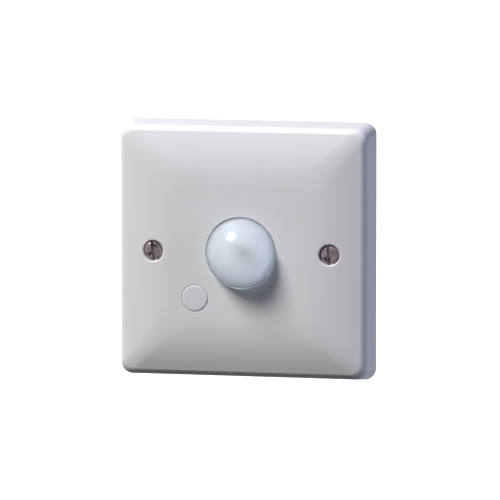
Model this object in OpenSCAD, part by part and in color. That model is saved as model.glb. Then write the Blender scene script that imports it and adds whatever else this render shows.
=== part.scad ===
// Wall light switch with a motion sensor, one gang, for a flush wall box.
// A square moulded plate has a face that rises from its edges to a flat middle.
// A domed lens stands in the middle, with a round push button low on the left
// and a fixing screw on each side. A housing with two boards goes into the wall.
// Sizes are in millimetres. Pieces are drawn with X right, Y up and Z out of the
// wall from the plate's back rim, and upright() then turns them to stand on a wall.

/* [Face plate] */
// Width and height of the square plate
plate_w = 87; // [85:0.5:92]
// Height of the plate's face edge above the wall
plate_edge_h = 11.5; // [10.5:0.1:12.5]
// Height of the flat middle of the face above the wall
plate_crown_h = 14.7; // [14:0.1:16]
// How far each side leans in between the wall and the face edge
plate_lean = 1.5; // [0.6:0.1:2]
// Radius of the plate's upright corners
plate_corner_r = 4; // [3:0.5:6]
// Wall thickness of the moulding
plate_wall = 2.2; // [1.8:0.1:2.4]
// Rounding of the edge between face and sides
edge_round_r = 3; // [0.8:0.1:3.4]
// Width of the sloping border of the face
border_w = 20; // [17:0.5:22]
// Corner radius of the flat middle of the face
middle_corner_r = 9; // [6:0.5:12]

/* [Lens] */
// Outside diameter of the domed lens
lens_d = 23.8; // [22:0.2:24]
// Gap between the lens and the edge of its hole
lens_gap = 0.5; // [0.4:0.1:0.9]
// Wall thickness of the lens
lens_wall = 0.9; // [0.7:0.1:1.2]
// Width of the lens flange behind the plate
lens_flange_w = 1.3; // [1.2:0.1:1.8]
// Thickness of the lens flange
lens_flange_t = 1.2; // [1:0.1:1.4]
// Thickness of the ring that holds the lens in
retainer_t = 1.6; // [1.4:0.1:2]
// Thread diameter of the ring's two screws
retainer_screw_d = 1.8; // [1.6:0.1:2]

/* [Push button] */
// Diameter of the button's face
button_d = 8.8; // [8:0.1:9.2]
// Gap between the button and the edge of its hole
button_gap = 0.6; // [0.3:0.05:0.7]
// How far the button stands out of the face
button_proud = 0.3; // [0.2:0.1:1.2]
// How far the button travels when it is pressed
button_travel = 1; // [0.6:0.1:1]
// Distance of the button's middle in from the housing's left side
button_in = 8.25; // [8.1:0.05:9]
// Distance of the button's middle up from the housing's lower side
button_up = 11.4; // [11.2:0.05:12]
// Wire diameter of the button's return spring
spring_wire_d = 0.5; // [0.4:0.02:0.56]
// Number of curls in the return spring
spring_curls = 4; // [3:1:4]

/* [Fixing screws] */
// Distance between the two fixing screws
fixing_pitch = 60.3; // [60:0.1:60.6]
// Thread diameter of a fixing screw
fixing_d = 3.5; // [3:0.1:3.6]
// Diameter of a fixing screw's plain shank between its head and its thread
fixing_shank_d = 3; // [2.6:0.1:3]
// Head diameter of a fixing screw
fixing_head_d = 6.4; // [6:0.1:6.6]
// Length of a fixing screw from the rim of its head to its tip
fixing_l = 30; // [25:1:35]

/* [Rear housing] */
// Width of the housing
case_w = 48; // [47.5:0.1:49.5]
// Height of the housing
case_h = 54; // [53.5:0.1:57]
// How far the housing reaches into the wall
case_depth = 21; // [20.4:0.1:23]
// Wall thickness of the housing
case_wall = 1.6; // [1.2:0.1:1.8]
// Radius of the housing's upright corners
case_corner_r = 2.4; // [1.5:0.1:3]
// Diameter of the four screw columns
column_d = 6; // [5.6:0.1:6.4]
// Thread diameter of the four housing screws
case_screw_d = 2.6; // [2.2:0.1:2.8]

/* [Boards] */
// Thickness of both circuit boards
board_t = 1.6; // [1.2:0.1:1.8]
// Clear height between the front board and the underside of the plate
front_clear_h = 6.5; // [6.3:0.1:7]
// Clear height between the two boards
boards_clear_h = 10.4; // [10:0.1:11]
// Height of the spacer ring under the sensor
sensor_spacer_h = 2; // [1.4:0.1:2.4]
// Diameter of the sensor's metal can
sensor_d = 8.3; // [8:0.1:9.1]
// Height of the sensor's metal can
sensor_h = 4.2; // [3.6:0.1:4.4]
// Width of the small push switch
switch_w = 6; // [5.6:0.1:6.2]
// Height of the small push switch without its plunger
switch_h = 3.5; // [3.3:0.1:3.5]
// Diameter of the push switch's plunger
plunger_d = 3.5; // [3:0.1:3.5]

/* [Parts on the main board] */
// Height of the relay
relay_h = 9.2; // [8:0.1:9.4]
// Height of the film capacitor
film_capacitor_h = 9; // [8:0.1:9.4]
// Diameter of the electrolytic capacitor
electrolytic_d = 8; // [6.3:0.1:8.4]
// Height of the electrolytic capacitor
electrolytic_h = 9.2; // [8:0.1:9.4]
// Diameter of the varistor disc
varistor_d = 8.4; // [7:0.1:8.6]
// Diameter of the round fuse
fuse_d = 8.2; // [7.4:0.1:8.4]
// Diameter of the choke's spool
choke_d = 7.6; // [7:0.1:7.8]

/* [Terminals and trimmers] */
// Distance between neighbouring terminals
terminal_pitch = 7.6; // [7.4:0.1:8.2]
// Width of one brass clamp
clamp_w = 6; // [5.4:0.1:6.2]
// Diameter of the hole for a conductor
conductor_d = 3.2; // [2.8:0.1:3.4]
// Thread diameter of a terminal screw
terminal_screw_d = 2.5; // [2.2:0.1:2.8]
// Width of a trimmer's body
trimmer_w = 7; // [6.4:0.1:7.6]
// Diameter of a trimmer's turning head
trimmer_head_d = 5.6; // [5:0.1:6]
// Distance of each trimmer from the upright centre line
trimmer_aside = 9; // [8.4:0.1:10]

/* [Hidden] */

// Facets of round pieces, and steps of the curves
$fn = 96;
corner_steps = 8;
round_steps = 6;
border_steps = 8;
dome_steps = 20;
button_steps = 5;

// How far a cutting solid runs past what it cuts
cut = 1;
// Clearance between fixed pieces, and round a thread in its hole
seat_gap = 0.2;
thread_gap = 0.05;
// Clearance round pieces that slide or turn
slide_gap = 0.1;

// Signs of the four corners, counted the way angles are
corner_x = [1, -1, -1, 1];
corner_y = [1, 1, -1, -1];

// Face of the plate: a straight side, a rounded edge, a curved border, a flat middle
border_rise = plate_crown_h - plate_edge_h;
border_r = (pow(border_w, 2) + pow(border_rise, 2)) / (2 * border_rise);
border_slope = asin(border_w / border_r);
border_end = plate_lean + border_w;
middle_half = plate_w / 2 - border_end;
ceiling_z = plate_crown_h - plate_wall;

// Front rim of the housing, level with the front of the board that it holds
case_rim = ceiling_z - front_clear_h;

// Height of the plate's face at a distance from its centre line
function face_z(x) = plate_crown_h - border_r + sqrt(pow(border_r, 2) - pow(max(x - middle_half, 0), 2));

// Lens and its retaining ring
lens_r = lens_d / 2;
lens_hole_r = lens_r + lens_gap;
lens_flange_r = lens_r + lens_flange_w;
lens_seat_z = ceiling_z - lens_flange_t;
retainer_z = lens_seat_z - retainer_t;
retainer_lip = 0.4;
retainer_r = lens_flange_r + retainer_lip;
ear_boss_wall = 1.5;
ear_boss_r = retainer_screw_d / 2 + ear_boss_wall;
ear_boss_gap = 0.5;
ear_y = lens_flange_r + ear_boss_gap + ear_boss_r;
retainer_head_r = retainer_screw_d;
retainer_head_h = 1.1;
retainer_screw_l = 4.6;
retainer_slot_w = 0.6;
retainer_slot_h = 0.55;

// Push switch, button and return spring
button_at = [button_in - case_w / 2, button_up - case_h / 2];
button_r = button_d / 2;
button_hole_r = button_r + button_gap;
plunger_r = plunger_d / 2;
plunger_foot_w = 0.45;
plunger_foot_h = 0.8;
plunger_rest_gap = 0.3;
switch_wall = 0.6;
switch_top_z = case_rim + switch_h;
plunger_top_z = switch_top_z + button_travel + plunger_rest_gap;
spring_wire_r = spring_wire_d / 2;
spring_switch_gap = 0.35;
spring_r = switch_w / sqrt(2) + spring_switch_gap + spring_wire_r;
button_flange_t = 1.2;
button_flange_lap = 0.9;
button_flange_r = max(button_hole_r + button_flange_lap, spring_r + spring_wire_r + seat_gap);
button_flange_z = ceiling_z - button_flange_t;
button_stem_r = 1.5;
button_edge_w = 0.8;
button_edge_h = 0.3;
seat_clear = 0.4;

// Fixing screws and the bosses that they pass through
fixing_r = fixing_d / 2;
fixing_shank_r = fixing_shank_d / 2;
fixing_hole_r = fixing_r + seat_gap;
fixing_head_r = fixing_head_d / 2;
fixing_sink_r = fixing_head_r + seat_gap + thread_gap;
fixing_sunk = 0.35;
fixing_head_z = face_z(fixing_pitch / 2 + fixing_sink_r) - fixing_sunk;
fixing_crown_h = 0.7;
fixing_rim_h = 0.25;
fixing_tip_h = 1;
fixing_slot_w = 0.9;
fixing_slot_h = 1.1;
fixing_slot_turn = 8;
fixing_cross_w = 0.8;
fixing_cross_l = 4.2;
fixing_cross_turn = 45;
fixing_dome_shares = [[1, 0], [0.72, 0.58], [0.4, 0.88], [0, 1]];
fixing_boss_wall = 1;
fixing_boss_r = fixing_sink_r + fixing_boss_wall;

// Rear housing, its columns and its screws
case_floor_z = case_wall - case_depth;
column_r = column_d / 2;
column_gap = 0.4;
column_inset = column_gap + column_r;
column_at = [case_w / 2 - column_inset, case_h / 2 - column_inset];
case_screw_r = case_screw_d / 2;
case_head_lap = 1;
case_head_r = case_screw_r + case_head_lap;
case_head_h = 1.8;
case_head_sunk = 0.2;
case_cross_l = 3.2;
case_screw_bite = 5.5;
pilot_spare = 0.6;
post_r = 2.2;
post_inset = 3.9;
post_x = case_w / 2 - case_wall - post_inset;

// Boards
board_gap = 0.2;
board_w = case_w - 2 * (case_wall + board_gap);
board_h = case_h - 2 * (case_wall + board_gap);
board_notch = column_inset + column_r - case_wall - board_gap + seat_gap;
front_board_z = case_rim - board_t;
main_top_z = front_board_z - boards_clear_h;
main_board_z = main_top_z - board_t;

// Motion sensor and light sensor
sensor_z = case_rim + sensor_spacer_h;
sensor_r = sensor_d / 2;
sensor_foot_w = 0.45;
sensor_foot_h = 0.5;
sensor_window_w = 4.4;
sensor_window_h = 3.4;
sensor_window_t = 0.4;
sensor_lead_r = 0.22;
sensor_lead_ring_r = 2.54;
sensor_lead_hole_r = 0.45;
sensor_lead_below = 1.2;
spacer_bore_gap = 0.9;
spacer_bore_r = sensor_lead_ring_r + spacer_bore_gap;
light_sensor_at = [7.4, 3.6];
light_sensor_r = 1.5;
light_sensor_h = 2.6;
light_sensor_foot_r = 1.8;
light_sensor_foot_h = 0.6;
chip_size = [8.6, 3.9, 1.5];
chip_at = [8, -17.4];

// Pins that join the two boards
link_count = 6;
link_pitch = 2.54;
link_edge = 1.3;
link_at = [-1, board_h / 2 - link_edge];
link_pin_w = 0.64;
link_hole_r = 0.5;
link_body_w = 2.5;
link_body_h = 2.5;
link_past = 1;

// Parts on the main board: places of their middles, from the upright centre line and
// down from the board's upper edge, and their sizes along the board
relay_place = [-7.4, 8.6];
relay_size = [18, 10];
film_capacitor_place = [10.4, 7.2];
film_capacitor_size = [12.6, 6];
electrolytic_place = [9.4, 17.2];
electrolytic_groove = 0.4;
varistor_place = [-12.1, 18.8];
varistor_t = 3.8;
varistor_lift = 0.6;
choke_place = [-2.6, 21.2];
choke_h = 8.6;
choke_flange_t = 1;
choke_core_share = 0.5;
winding_share = 0.86;
winding_gap = 0.1;
fuse_place = [-12.6, 34.6];
fuse_h = 7.6;
fuse_foot_h = 1.2;
fuse_foot_in = 0.5;
rectifier_place = [0, 35.6];
rectifier_size = [8.2, 6.4, 2.6];
edge_bevel = 0.5;

// Terminals
terminal_count = 3;
block_h = 12;
block_side = 1.4;
block_w = terminal_pitch * (terminal_count - 1) + clamp_w + 2 * (block_side + board_gap);
clamp_gap = 0.1;
clamp_l = 7.4;
clamp_recess = 0.6;
clamp_t = 6.6;
clamp_lift = 2.8;
clamp_front_z = main_board_z - clamp_lift;
clamp_rear_z = clamp_front_z - clamp_t;
conductor_r = conductor_d / 2;
conductor_wall = 0.9;
conductor_z = clamp_front_z - conductor_wall - conductor_r;
conductor_l = 6;
clamp_mouth_y = clamp_recess - case_h / 2;
terminal_screw_y = clamp_mouth_y + clamp_l / 2;
terminal_screw_r = terminal_screw_d / 2;
terminal_head_lap = 0.65;
terminal_head_r = terminal_screw_r + terminal_head_lap;
terminal_head_gap = 0.4;
terminal_tip_gap = 0.15;
driver_slot_w = 0.7;
driver_slot_h = 0.8;

// Trimmers: a body on the main board and a head that shows in the housing's back
trimmer_y = 10;
trimmer_body_h = 5.8;
trimmer_shaft_r = 1.5;
trimmer_running_gap = 0.05;
trimmer_shaft_l = 3.6;
trimmer_head_r = trimmer_head_d / 2;
trimmer_head_gap = 0.3;
trimmer_head_sunk = 0.3;
trimmer_hole_gap = 0.3;
trimmer_slot_w = 0.8;
trimmer_slot_h = 1.1;
trimmer_slot_end = 0.5;
trimmer_body_z = main_board_z - trimmer_body_h;
trimmer_head_z = trimmer_body_z - trimmer_head_gap;

// Return spring: rings along a helix between the front board and the button's flange
spring_rings = 8;
spring_sides = 6;
spring_seat_gap = 0.02;
spring_z = case_rim + spring_wire_r + spring_seat_gap;
spring_l = button_flange_z - case_rim - spring_wire_d - 2 * spring_seat_gap;
spring_path = [
    for (i = [0:spring_curls * spring_rings])
        let (turn = 360 * i / spring_rings, share = i / (spring_curls * spring_rings))
        [spring_r * cos(turn), spring_r * sin(turn), spring_z + spring_l * share]
];
spring_least_gap = min([
    for (i = [0:(spring_curls - 1) * spring_rings])
        norm(spring_path[i + spring_rings] - spring_path[i])
]) - spring_wire_d;
echo(spring_least_gap = spring_least_gap);

// Turns the pieces from the drawing's wall frame to upright: Z up, the face to -Y
module upright() {
    rotate([90, 0, 0]) children();
}

// Plan outline of a box with round corners
function outline(half_w, half_h, r) = [
    for (q = [0:3]) for (i = [0:corner_steps])
        let (turn = 90 * (q + i / corner_steps))
        [corner_x[q] * (half_w - r) + r * cos(turn), corner_y[q] * (half_h - r) + r * sin(turn)]
];

// Closed solid through rings of points that all have the same count
module skin(rings) {
    count = len(rings[0]);
    last = len(rings) - 1;
    points = [for (ring = rings) each ring];
    sides = [
        for (k = [0:last - 1]) for (i = [0:count - 1])
            let (j = (i + 1) % count, low = k * count, high = low + count)
            each [[low + i, high + i, high + j], [low + i, high + j, low + j]]
    ];
    foot = [[for (i = [0:count - 1]) i]];
    head = [[for (i = [count - 1:-1:0]) last * count + i]];
    polyhedron(points, concat(foot, sides, head));
}

// Block with round upright corners
module round_block(w, h, r, low, high) {
    translate([0, 0, low]) linear_extrude(high - low) polygon(outline(w / 2, h / 2, r));
}

// Straight block from its middle, its footprint and its two levels
module block(at, size, low, high) {
    translate([at.x, at.y, (low + high) / 2]) cube([size.x, size.y, high - low], center = true);
}

// Straight cylinder from its middle and its two levels
module rod(at, r, low, high) {
    translate([at.x, at.y, low]) cylinder(h = high - low, r = r);
}

// Front view of a block with its two upper corners cut off
function cut_corners(w, h) = [
    [-w / 2, 0],
    [w / 2, 0],
    [w / 2, h - edge_bevel],
    [w / 2 - edge_bevel, h],
    [edge_bevel - w / 2, h],
    [-w / 2, h - edge_bevel]
];

// Block whose front edges are bevelled, as moulded cases are
module bevelled(at, size, low, high) {
    translate([at.x, at.y, low]) intersection() {
        rotate([90, 0, 0]) linear_extrude(size.y, center = true) polygon(cut_corners(size.x, high - low));
        rotate([90, 0, 90]) linear_extrude(size.x, center = true) polygon(cut_corners(size.y, high - low));
    }
}

// Puts its children at the four screw columns
module at_columns() {
    for (q = [0:3]) translate([corner_x[q] * column_at.x, corner_y[q] * column_at.y, 0]) children();
}

// Steps of the plate's profile: inset from the side, height and corner radius
lean_angle = atan(plate_lean / plate_edge_h);
round_from = lean_angle;
round_to = 90 - border_slope;
round_mid = (round_from + round_to) / 2;
round_reach = edge_round_r / cos((round_to - round_from) / 2);
round_centre = [plate_lean + round_reach * cos(round_mid), plate_edge_h - round_reach * sin(round_mid)];
round_profile = [
    for (i = [0:round_steps])
        let (turn = round_from + (round_to - round_from) * i / round_steps)
        [round_centre.x - edge_round_r * cos(turn), round_centre.y + edge_round_r * sin(turn), plate_corner_r]
];
border_start = round_profile[round_steps].x;
border_profile = [
    for (i = [1:border_steps])
        let (share = i / border_steps, inset = border_start + (border_end - border_start) * share)
        [
            inset,
            face_z(plate_w / 2 - inset),
            plate_corner_r + (middle_corner_r - plate_corner_r) * pow(share, 2)
        ]
];
plate_profile = concat([[0, 0, plate_corner_r]], round_profile, border_profile);

// The plate's outer form, or the hollow behind it when it is drawn in by the wall
module pillow(inward) {
    skin([
        for (i = [0:len(plate_profile) - 1])
            let (step = plate_profile[i], half = plate_w / 2 - inward - step.x)
            let (z = i == 0 ? (inward > 0 ? -cut : 0) : step.y - inward)
            [for (p = outline(half, half, step.z - inward)) [p.x, p.y, z]]
    ]);
}

module face_plate() {
    boss_top = face_z(fixing_pitch / 2 + fixing_boss_r) - plate_wall / 2;
    column_top = face_z(column_at.y + column_r) - plate_wall / 2;
    ear_boss_top = ceiling_z + plate_wall / 2;
    ear_pilot_top = retainer_z + retainer_screw_l - retainer_head_h + pilot_spare / 2;
    color("white") upright() difference() {
        union() {
            difference() {
                pillow(0);
                pillow(plate_wall);
            }
            for (side = [-1, 1]) rod([side * fixing_pitch / 2, 0], fixing_boss_r, 0, boss_top);
            at_columns() rod([0, 0], column_r, case_rim, column_top);
            for (side = [-1, 1]) rod([0, side * ear_y], ear_boss_r, lens_seat_z, ear_boss_top);
            for (side = [-1, 1]) rod([side * post_x, 0], post_r - seat_gap, case_rim, ear_boss_top);
        }
        rod([0, 0], lens_hole_r, ceiling_z - cut, plate_crown_h + cut);
        rod([0, 0], lens_flange_r + seat_clear, lens_seat_z - cut, ceiling_z);
        rod(button_at, button_hole_r, ceiling_z - cut, plate_crown_h + cut);
        rod(button_at, button_flange_r + seat_clear, button_flange_z - cut, ceiling_z);
        for (side = [-1, 1]) translate([side * fixing_pitch / 2, 0, 0]) {
            rod([0, 0], fixing_hole_r, -cut, plate_crown_h);
            rod([0, 0], fixing_sink_r, fixing_head_z, plate_crown_h + cut);
            translate([0, 0, fixing_head_z - fixing_sink_r + fixing_hole_r])
                cylinder(h = fixing_sink_r - fixing_hole_r, r1 = fixing_hole_r, r2 = fixing_sink_r);
        }
        at_columns() rod([0, 0], case_screw_r + thread_gap, case_rim - cut,
            case_rim + case_screw_bite + pilot_spare);
        for (side = [-1, 1])
            rod([0, side * ear_y], retainer_screw_d / 2 + thread_gap, lens_seat_z - cut, ear_pilot_top);
    }
}

// Raised countersunk screws whose heads take a flat or a cross driver. The thread is
// rolled, so it is wider than the shank, and it starts where the screw enters the wall
module fixing_screws() {
    seat_z = fixing_head_z - thread_gap;
    cone_z = seat_z - fixing_head_r + fixing_shank_r;
    tip_z = fixing_head_z - fixing_l;
    crown_z = seat_z + fixing_rim_h + fixing_crown_h;
    color("silver") upright() for (side = [-1, 1]) translate([side * fixing_pitch / 2, 0, 0])
        difference() {
            rotate_extrude() polygon([
                [0, tip_z],
                [fixing_r - fixing_tip_h / 2, tip_z],
                [fixing_r, tip_z + fixing_tip_h],
                [fixing_r, 0],
                [fixing_shank_r, fixing_r - fixing_shank_r],
                [fixing_shank_r, cone_z],
                [fixing_head_r, seat_z],
                each [for (share = fixing_dome_shares)
                    [fixing_head_r * share.x, seat_z + fixing_rim_h + fixing_crown_h * share.y]]
            ]);
            rotate([0, 0, fixing_slot_turn]) block([0, 0], [fixing_slot_w, fixing_head_d + cut],
                crown_z - fixing_slot_h, crown_z + cut);
            rotate([0, 0, fixing_cross_turn]) block([0, 0], [fixing_cross_l, fixing_cross_w],
                crown_z - fixing_slot_h, crown_z + cut);
        }
}

// Thin shell: a half ball that rises from its flange behind the plate
module lens_dome() {
    inner_r = lens_r - lens_wall;
    color("aliceblue") upright() rotate_extrude() polygon(concat(
        [
            [inner_r, lens_seat_z],
            [lens_flange_r, lens_seat_z],
            [lens_flange_r, ceiling_z]
        ],
        [for (i = [0:dome_steps]) let (turn = 90 * i / dome_steps)
            [lens_r * cos(turn), ceiling_z + lens_r * sin(turn)]],
        [for (i = [dome_steps:-1:0]) let (turn = 90 * i / dome_steps)
            [inner_r * cos(turn), ceiling_z + inner_r * sin(turn)]]
    ));
}

// Ring with two ears that presses the lens flange against the plate
module lens_retainer() {
    color("gainsboro") upright() difference() {
        union() {
            rod([0, 0], retainer_r, retainer_z, lens_seat_z);
            for (side = [-1, 1]) {
                rod([0, side * ear_y], ear_boss_r, retainer_z, lens_seat_z);
                block([0, side * (retainer_r + ear_y) / 2 - side * ear_boss_r / 2],
                    [ear_boss_r * 2, ear_y - retainer_r + ear_boss_r], retainer_z, lens_seat_z);
            }
        }
        rod([0, 0], lens_r - retainer_lip, retainer_z - cut, lens_seat_z + cut);
        for (side = [-1, 1])
            rod([0, side * ear_y], retainer_screw_d / 2 + slide_gap, retainer_z - cut, lens_seat_z + cut);
    }
}

module retainer_screws() {
    head_z = retainer_z - retainer_head_h;
    color("silver") upright() for (side = [-1, 1]) difference() {
        union() {
            rod([0, side * ear_y], retainer_head_r, head_z, retainer_z);
            rod([0, side * ear_y], retainer_screw_d / 2, head_z + retainer_head_h / 2,
                head_z + retainer_screw_l);
        }
        block([0, side * ear_y], [2 * retainer_head_r + cut, retainer_slot_w], head_z - cut,
            head_z + retainer_slot_h);
    }
}

// Round cap whose edge falls away softly, a flange behind the plate and a stem to the switch
module push_button() {
    top_z = plate_crown_h + button_proud;
    color("whitesmoke") upright() translate([button_at.x, button_at.y, 0])
        rotate_extrude() polygon([
            [0, plunger_top_z],
            [button_stem_r, plunger_top_z],
            [button_stem_r, button_flange_z],
            [button_flange_r, button_flange_z],
            [button_flange_r, ceiling_z],
            [button_r, ceiling_z],
            each [for (i = [0:button_steps]) let (turn = 90 * i / button_steps)
                [button_r - button_edge_w * (1 - cos(turn)), top_z - button_edge_h * (1 - sin(turn))]],
            [0, top_z]
        ]);
}

// Helical spring round the push switch, one unbroken round wire
module button_spring() {
    color("silver") upright() translate([button_at.x, button_at.y, 0]) skin([
        for (i = [0:len(spring_path) - 1])
            let (turn = 360 * i / spring_rings, p = spring_path[i])
            [for (k = [0:spring_sides - 1])
                let (a = 90 - 360 * k / spring_sides, out = spring_wire_r * cos(a))
                [p.x + out * cos(turn), p.y + out * sin(turn), p.z + spring_wire_r * sin(a)]]
    ]);
}

// Deep tray that goes into the wall box, with columns, posts and openings in its back
module rear_housing() {
    color("dimgray") upright() difference() {
        union() {
            difference() {
                round_block(case_w, case_h, case_corner_r, -case_depth, case_rim);
                round_block(case_w - 2 * case_wall, case_h - 2 * case_wall, case_corner_r / 2,
                    case_floor_z, case_rim + cut);
            }
            at_columns() rod([0, 0], column_r, -case_depth + case_wall / 2, case_rim);
            for (side = [-1, 1])
                rod([side * post_x, 0], post_r, case_floor_z - case_wall / 2, main_board_z);
        }
        at_columns() {
            rod([0, 0], case_screw_r + thread_gap, -case_depth, case_rim + cut);
            rod([0, 0], case_head_r + slide_gap, -case_depth - cut,
                -case_depth + case_head_h + case_head_sunk);
        }
        block([0, -case_h / 2], [block_w + 2 * board_gap, 2 * case_wall + 2 * board_gap],
            case_floor_z, main_board_z + board_gap);
        for (i = [0:terminal_count - 1])
            rod([terminal_x(i), terminal_screw_y], terminal_head_r + seat_gap,
                -case_depth - cut, case_floor_z + cut);
        for (side = [-1, 1])
            rod([side * trimmer_aside, trimmer_y], trimmer_head_r + trimmer_hole_gap,
                -case_depth - cut, case_floor_z + cut);
    }
}

module housing_screws() {
    head_z = -case_depth + case_head_sunk;
    color("silver") upright() at_columns() difference() {
        union() {
            rod([0, 0], case_head_r, head_z, head_z + case_head_h);
            rod([0, 0], case_screw_r, head_z + case_head_h / 2, case_rim + case_screw_bite);
        }
        block([0, 0], [case_cross_l, driver_slot_w], head_z - cut, head_z + driver_slot_h);
        block([0, 0], [driver_slot_w, case_cross_l], head_z - cut, head_z + driver_slot_h);
    }
}

// Board outline that leaves room for the four columns
module board(low) {
    difference() {
        block([0, 0], [board_w, board_h], low, low + board_t);
        for (q = [0:3])
            block([corner_x[q] * board_w / 2, corner_y[q] * board_h / 2],
                [2 * board_notch, 2 * board_notch], low - cut, low + board_t + cut);
        for (i = [0:link_count - 1])
            rod([link_x(i), link_at.y], link_hole_r, low - cut, low + board_t + cut);
    }
}

module front_board() {
    color("seagreen") upright() difference() {
        board(front_board_z);
        for (i = [0:2])
            rod(lead_at(i), sensor_lead_hole_r, front_board_z - cut, case_rim + cut);
    }
}

module main_board() {
    color("seagreen") upright() board(main_board_z);
}

// Place of a part on the main board, from the board's upper edge
function on_board(place) = [place.x, board_h / 2 - place.y];

// Places of the three sensor leads, the link pins and the terminals
function lead_at(i) = [sensor_lead_ring_r * cos(90 * i), sensor_lead_ring_r * sin(90 * i)];
function link_x(i) = link_at.x + link_pitch * (i - (link_count - 1) / 2);
function terminal_x(i) = terminal_pitch * (i - (terminal_count - 1) / 2);

module sensor_spacer() {
    color("ivory") upright() difference() {
        rod([0, 0], sensor_r, case_rim, sensor_z);
        rod([0, 0], spacer_bore_r, case_rim - cut, sensor_z + cut);
    }
}

module sensor_can() {
    top_z = sensor_z + sensor_h;
    color("silver") upright() difference() {
        union() {
            rod([0, 0], sensor_r + sensor_foot_w, sensor_z, sensor_z + sensor_foot_h);
            rod([0, 0], sensor_r, sensor_z, top_z);
        }
        block([0, 0], [sensor_window_w, sensor_window_h], top_z - sensor_window_t, top_z + cut);
    }
}

module sensor_window() {
    top_z = sensor_z + sensor_h;
    color("dimgray") upright()
        block([0, 0], [sensor_window_w - slide_gap, sensor_window_h - slide_gap],
            top_z - sensor_window_t, top_z);
}

module sensor_leads() {
    color("gold") upright() for (i = [0:2])
        rod(lead_at(i), sensor_lead_r, front_board_z - sensor_lead_below, sensor_z);
}

module light_sensor() {
    color("azure") upright() {
        rod(light_sensor_at, light_sensor_foot_r, case_rim, case_rim + light_sensor_foot_h);
        rod(light_sensor_at, light_sensor_r, case_rim, case_rim + light_sensor_h);
    }
}

// Small push switch on the front board, hollow for the foot of its plunger
module switch_body() {
    cavity_top = switch_top_z - switch_wall;
    color("black") upright() difference() {
        block(button_at, [switch_w, switch_w], case_rim, switch_top_z);
        rod(button_at, plunger_r + plunger_foot_w + slide_gap, case_rim + switch_wall, cavity_top);
        rod(button_at, plunger_r + slide_gap, case_rim + switch_wall, switch_top_z + cut);
    }
}

module switch_plunger() {
    foot_top = switch_top_z - switch_wall;
    color("darkslategray") upright() {
        rod(button_at, plunger_r + plunger_foot_w, foot_top - plunger_foot_h, foot_top);
        rod(button_at, plunger_r, foot_top - plunger_foot_h, plunger_top_z);
    }
}

module controller_chip() {
    color("black") upright()
        bevelled(chip_at, [chip_size.x, chip_size.y], case_rim, case_rim + chip_size.z);
}

module board_spacers() {
    color("ivory") upright() for (side = [-1, 1])
        rod([side * post_x, 0], post_r - seat_gap, main_top_z, front_board_z);
}

module link_header() {
    color("black") upright() difference() {
        block(link_at, [link_pitch * link_count, link_body_w], main_top_z, main_top_z + link_body_h);
        for (i = [0:link_count - 1])
            block([link_x(i), link_at.y], [link_pin_w + slide_gap, link_pin_w + slide_gap],
                main_top_z - cut, main_top_z + link_body_h + cut);
    }
}

module link_pins() {
    color("gold") upright() for (i = [0:link_count - 1])
        block([link_x(i), link_at.y], [link_pin_w, link_pin_w],
            main_board_z - link_past, case_rim + link_past);
}

module relay() {
    color("royalblue") upright()
        bevelled(on_board(relay_place), relay_size, main_top_z, main_top_z + relay_h);
}

module film_capacitor() {
    color("goldenrod") upright()
        bevelled(on_board(film_capacitor_place), film_capacitor_size, main_top_z,
            main_top_z + film_capacitor_h);
}

// Round can with a rolled groove near its foot
module electrolytic_capacitor() {
    can_r = electrolytic_d / 2;
    groove = electrolytic_groove;
    at = on_board(electrolytic_place);
    color("midnightblue") upright() translate([at.x, at.y, main_top_z])
        rotate_extrude() polygon([
            [0, 0],
            [can_r, 0],
            [can_r, groove * 2],
            [can_r - groove, groove * 3],
            [can_r, groove * 4],
            [can_r, electrolytic_h - groove],
            [can_r - groove, electrolytic_h],
            [0, electrolytic_h]
        ]);
}

// Flat disc that stands on edge on two stub leads
module varistor() {
    disc_r = varistor_d / 2;
    lead_w = varistor_lift;
    at = on_board(varistor_place);
    color("steelblue") upright() {
        translate([at.x, at.y + varistor_t / 2, main_top_z + varistor_lift + disc_r])
            rotate([90, 0, 0]) cylinder(h = varistor_t, r = disc_r);
        for (side = [-1, 1])
            block([at.x + side * disc_r / 2, at.y], [lead_w, lead_w],
                main_top_z, main_top_z + disc_r);
    }
}

module fuse() {
    at = on_board(fuse_place);
    color("saddlebrown") upright() {
        rod(at, fuse_d / 2 - fuse_foot_in, main_top_z, main_top_z + fuse_foot_h);
        rod(at, fuse_d / 2, main_top_z + fuse_foot_h, main_top_z + fuse_h);
    }
}

module choke_spool() {
    core_r = choke_d / 2 * choke_core_share;
    at = on_board(choke_place);
    color("dimgray") upright() {
        rod(at, choke_d / 2, main_top_z, main_top_z + choke_flange_t);
        rod(at, core_r, main_top_z, main_top_z + choke_h);
        rod(at, choke_d / 2, main_top_z + choke_h - choke_flange_t, main_top_z + choke_h);
    }
}

module choke_winding() {
    core_r = choke_d / 2 * choke_core_share;
    low = main_top_z + choke_flange_t;
    high = main_top_z + choke_h - choke_flange_t;
    at = on_board(choke_place);
    color("orangered") upright() difference() {
        rod(at, choke_d / 2 * winding_share, low, high);
        rod(at, core_r + winding_gap, low - cut, high + cut);
    }
}

module rectifier() {
    color("black") upright()
        bevelled(on_board(rectifier_place), [rectifier_size.x, rectifier_size.y], main_top_z,
            main_top_z + rectifier_size.z);
}

// Trimmer body with a bearing for its rotor, on the rear of the main board
module trimmer_body(side) {
    at = [side * trimmer_aside, trimmer_y];
    color("cornflowerblue") upright() difference() {
        block(at, [trimmer_w, trimmer_w], trimmer_body_z, main_board_z);
        rod(at, trimmer_shaft_r + trimmer_running_gap, trimmer_body_z - cut,
            trimmer_body_z + trimmer_shaft_l + seat_gap);
    }
}

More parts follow.
